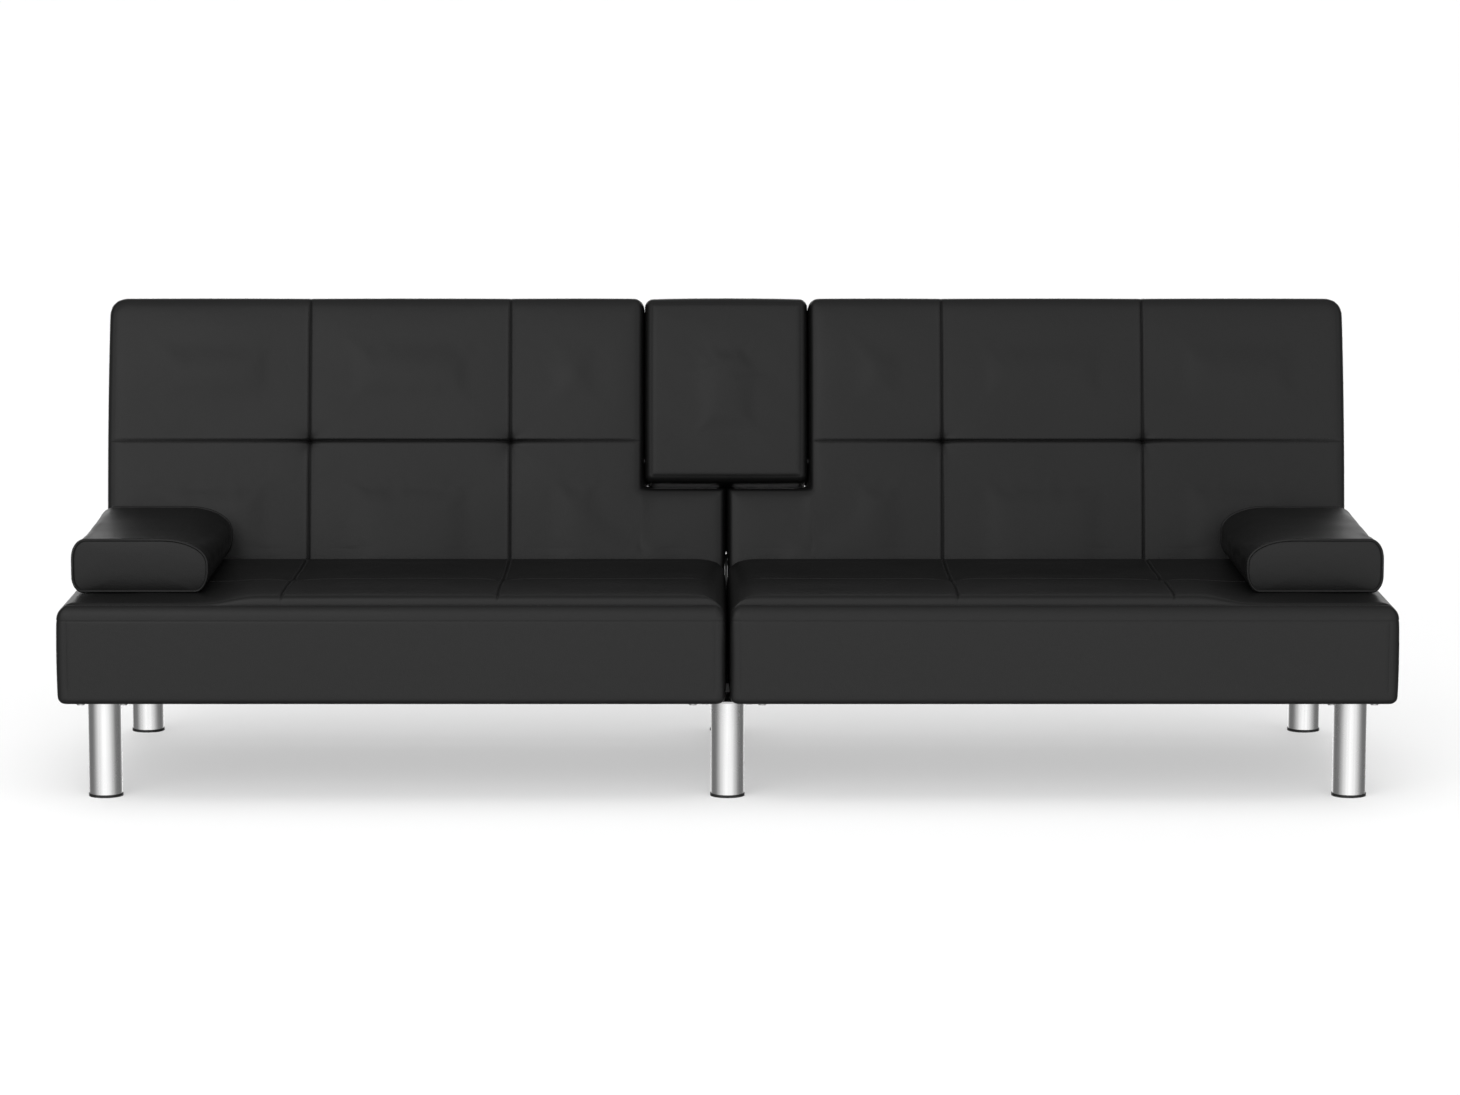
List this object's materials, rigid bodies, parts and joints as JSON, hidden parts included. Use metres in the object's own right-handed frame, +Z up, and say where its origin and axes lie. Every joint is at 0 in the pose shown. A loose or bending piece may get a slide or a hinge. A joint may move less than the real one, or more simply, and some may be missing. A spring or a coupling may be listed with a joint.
{
  "type": "futon sofa bed",
  "caption": "Armless click-clack futon sofa bed in black leather look, with a fold-down console, loose bolsters and steel tube legs.",
  "frame": {"origin": "on the floor, under the middle of the upright sofa's box", "axes": "+X along the width to the sofa's left as one sits in it, +Y to the rear, +Z up; the front faces -Y"},
  "size_m": [2, 0.7602, 0.7],
  "materials": {
    "leather": "satin",
    "leg_steel": "satin",
    "black_plastic": "matte",
    "tray_plastic": "satin",
    "zinc": "satin",
    "black_steel": "satin",
    "hinge_steel": "satin",
    "pine": "matte",
    "plywood": "matte",
    "webbing": "matte",
    "foam": "matte",
    "wadding": "matte",
    "dust_cloth": "matte"
  },
  "bodies": {
    "base": {"leg_front_left": "leg_steel", "leg_front_centre": "leg_steel", "leg_front_right": "leg_steel", "leg_rear_left": "leg_steel", "leg_rear_centre": "leg_steel", "leg_rear_right": "leg_steel", "foot_caps": "black_plastic", "leg_plates": "zinc", "leg_screws": "zinc", "leg_bolts": "zinc", "base_rail_left": "black_steel", "base_rail_centre": "black_steel", "base_rail_right": "black_steel", "base_cross_rails": "black_steel", "rail_end_plugs": "black_plastic", "rail_bolts": "zinc", "seat_frame_left": "pine", "seat_frame_right": "pine", "seat_webbing_left": "webbing", "seat_webbing_right": "webbing", "seat_foam_left": "foam", "seat_foam_right": "foam", "seat_cover_left": "leather", "seat_cover_right": "leather", "dust_cover_left": "dust_cloth", "dust_cover_right": "dust_cloth", "seat_join_bolts": "zinc", "hinge_plate_left": "hinge_steel", "hinge_plate_centre": "hinge_steel", "hinge_plate_right": "hinge_steel", "hinge_bolts": "zinc"},
    "back": {"hinge_arm_outer_left": "hinge_steel", "hinge_arm_inner_left": "hinge_steel", "hinge_arm_inner_right": "hinge_steel", "hinge_arm_outer_right": "hinge_steel", "pivot_pins": "zinc", "guide_pins": "zinc", "frame_screws": "zinc", "back_frame_left": "pine", "back_frame_right": "pine", "back_webbing_left": "webbing", "back_webbing_right": "webbing", "back_foam_left": "foam", "back_foam_right": "foam", "back_cover_left": "leather", "back_cover_right": "leather", "back_panel_left": "dust_cloth", "back_panel_right": "dust_cloth", "back_join_bar": "hinge_steel", "console_brackets": "hinge_steel"},
    "console": {"console_frame": "plywood", "console_foam": "foam", "console_cover": "leather", "cup_tray": "tray_plastic", "console_pins": "zinc", "tray_screws": "zinc"},
    "bolster_left": {"bolster_core_left": "wadding", "bolster_cover_left": "leather"},
    "bolster_right": {"bolster_core_right": "wadding", "bolster_cover_right": "leather"}
  },
  "joints": [
    {"name": "back_recline", "type": "hinge", "parent": "base", "child": "back", "pos_m": [0, 0.22389, 0.242], "axis": [-1, 0, 0], "range_deg": [0, 76]},
    {"name": "console_fold", "type": "hinge", "parent": "back", "child": "console", "pos_m": [0, 0.24268, 0.44138], "axis": [1, 0, 0], "range_deg": [0, 104]},
    {"name": "bolster_left_lift", "type": "slide", "parent": "base", "child": "bolster_left", "axis": [0, 0, 1], "range_m": [0, 0.42]},
    {"name": "bolster_right_lift", "type": "slide", "parent": "base", "child": "bolster_right", "axis": [0, 0, 1], "range_m": [0, 0.42]}
  ]
}
